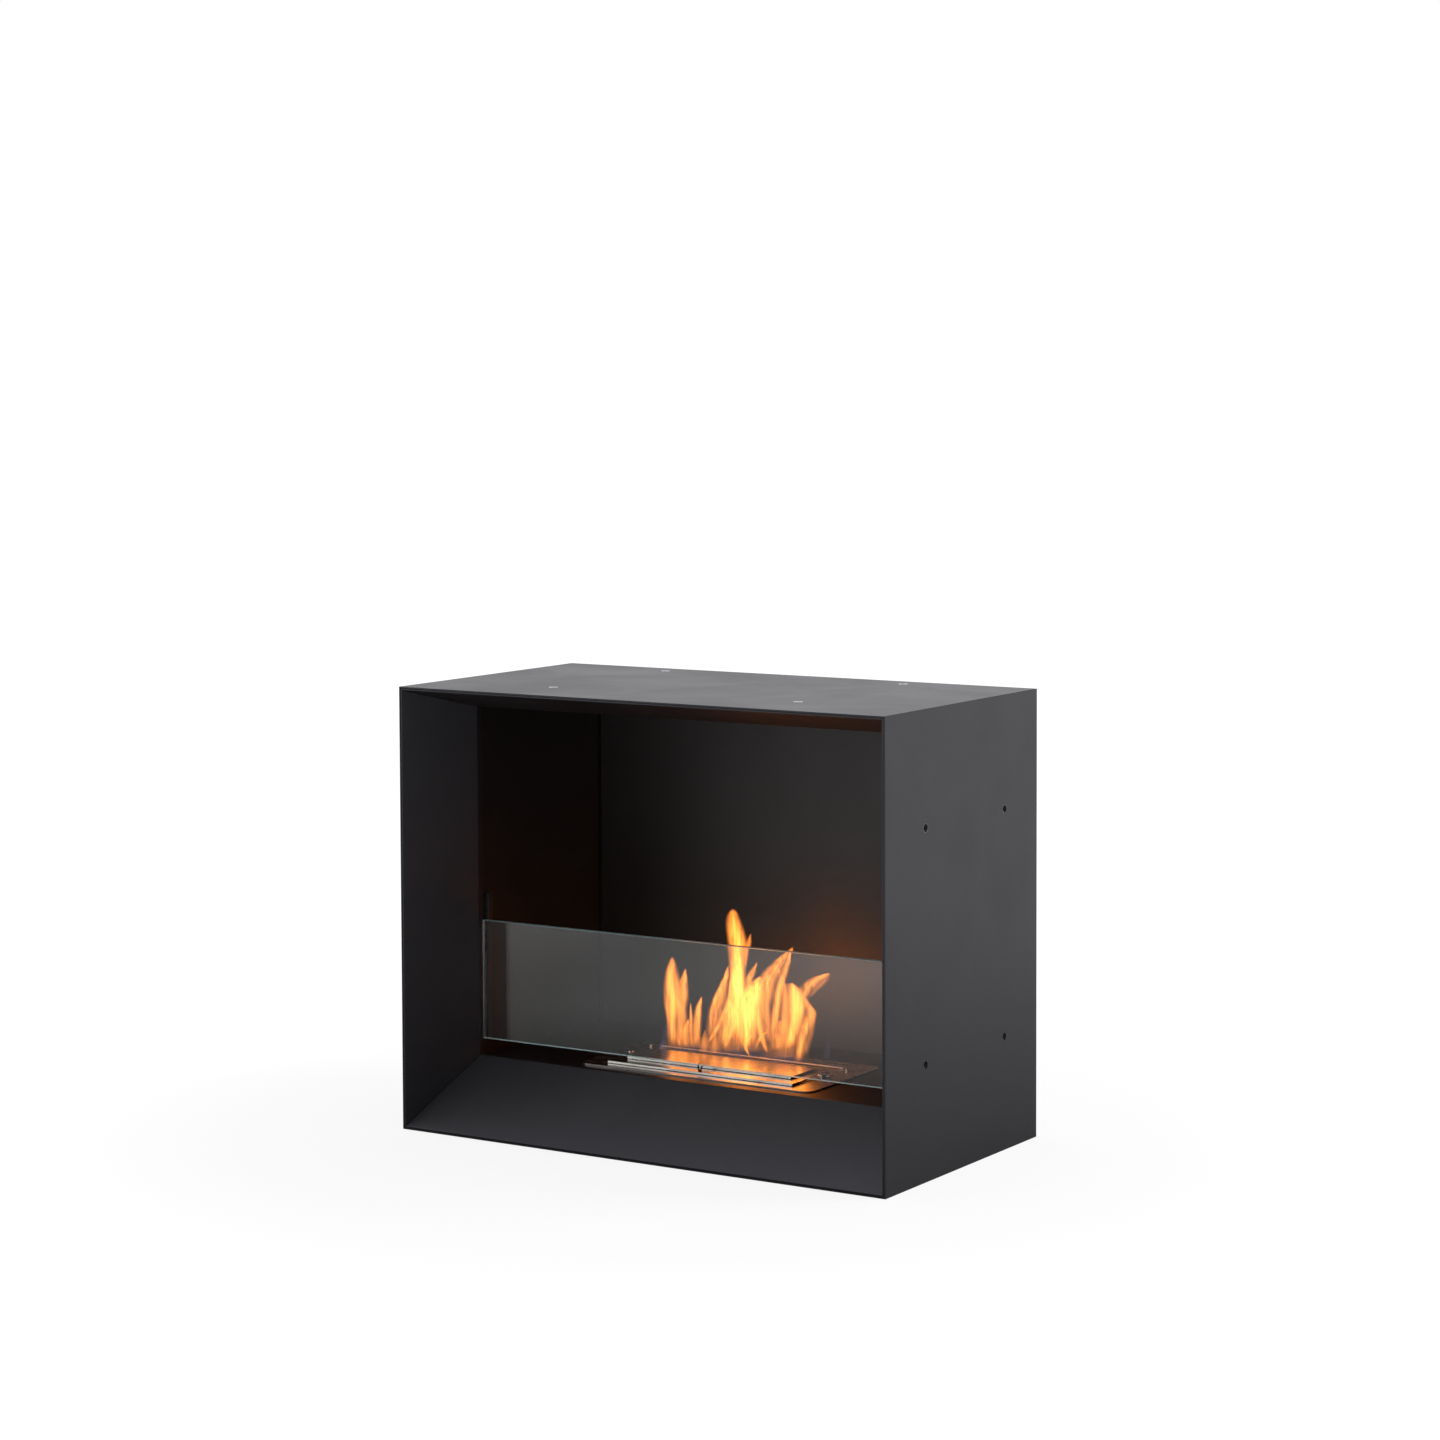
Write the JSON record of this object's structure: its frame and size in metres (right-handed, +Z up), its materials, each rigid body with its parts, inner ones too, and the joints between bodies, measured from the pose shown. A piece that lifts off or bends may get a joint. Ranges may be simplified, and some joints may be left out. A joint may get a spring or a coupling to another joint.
{
  "type": "bioethanol fireplace",
  "caption": "Open-fronted box fireplace of folded black steel with a splayed front, a low glass guard and a drop-in stainless ethanol burner with a sliding lid",
  "frame": {"origin": "middle of the underside, on the surface the casing stands on", "axes": "+X to the right along the width, seen from the front; +Y from the open front to the back; +Z up"},
  "size_m": [0.55, 0.3, 0.44],
  "materials": {
    "black_paint": "fine matt powder coat",
    "firebox_paint": "heat-proof satin black paint",
    "screw_black": "black oxide",
    "zinc_steel": "bright zinc plate",
    "stainless": "satin stainless, browned by heat",
    "clear_glass": "clear tempered, polished edges",
    "ceramic_wool": "loose white fibre"
  },
  "bodies": {
    "casing": {"casing_left": "black_paint", "casing_right": "black_paint", "casing_top": "black_paint", "casing_bottom": "black_paint", "splay_left": "black_paint", "splay_right": "black_paint", "splay_top": "black_paint", "splay_bottom": "black_paint", "back_panel": "black_paint", "firebox_wrap": "firebox_paint", "firebox_ceiling": "firebox_paint", "firebox_floor": "firebox_paint", "glass_guide_left": "screw_black", "glass_guide_right": "screw_black", "back_panel_screw_1": "screw_black", "back_panel_screw_2": "screw_black", "back_panel_screw_3": "screw_black", "back_panel_screw_4": "screw_black", "back_panel_screw_5": "screw_black", "back_panel_screw_6": "screw_black", "back_panel_screw_7": "screw_black", "back_panel_screw_8": "screw_black", "back_panel_screw_9": "screw_black", "back_panel_screw_10": "screw_black", "liner_bracket_bottom_left": "zinc_steel", "liner_bracket_bottom_right": "zinc_steel", "liner_bracket_top_left": "zinc_steel", "liner_bracket_top_right": "zinc_steel", "mount_nut_top_1": "zinc_steel", "mount_nut_top_2": "zinc_steel", "mount_nut_top_3": "zinc_steel", "mount_nut_top_4": "zinc_steel", "mount_nut_left_1": "zinc_steel", "mount_nut_left_2": "zinc_steel", "mount_nut_left_3": "zinc_steel", "mount_nut_left_4": "zinc_steel", "mount_nut_right_1": "zinc_steel", "mount_nut_right_2": "zinc_steel", "mount_nut_right_3": "zinc_steel", "mount_nut_right_4": "zinc_steel"},
    "glass": {"glass_panel": "clear_glass"},
    "burner": {"burner_flange": "stainless", "burner_tank": "stainless", "ceramic_wool": "ceramic_wool", "burner_rear_rail": "stainless", "slider_guide_stud_left": "stainless", "slider_guide_stud_right": "stainless", "slider_stop_pin_left": "stainless", "slider_stop_pin_right": "stainless"},
    "slider": {"slider_plate": "stainless", "slider_cover": "stainless", "slider_pull_eye": "stainless"}
  },
  "joints": [
    {"name": "glass_lift", "type": "slide", "parent": "casing", "child": "glass", "axis": [0, 0, 1], "range_m": [0, 0.147]},
    {"name": "burner_lift", "type": "slide", "parent": "casing", "child": "burner", "axis": [0, 0, 1], "range_m": [0, 0.065]},
    {"name": "slider_close", "type": "slide", "parent": "burner", "child": "slider", "axis": [0, 1, 0], "range_m": [0, 0.028]}
  ]
}
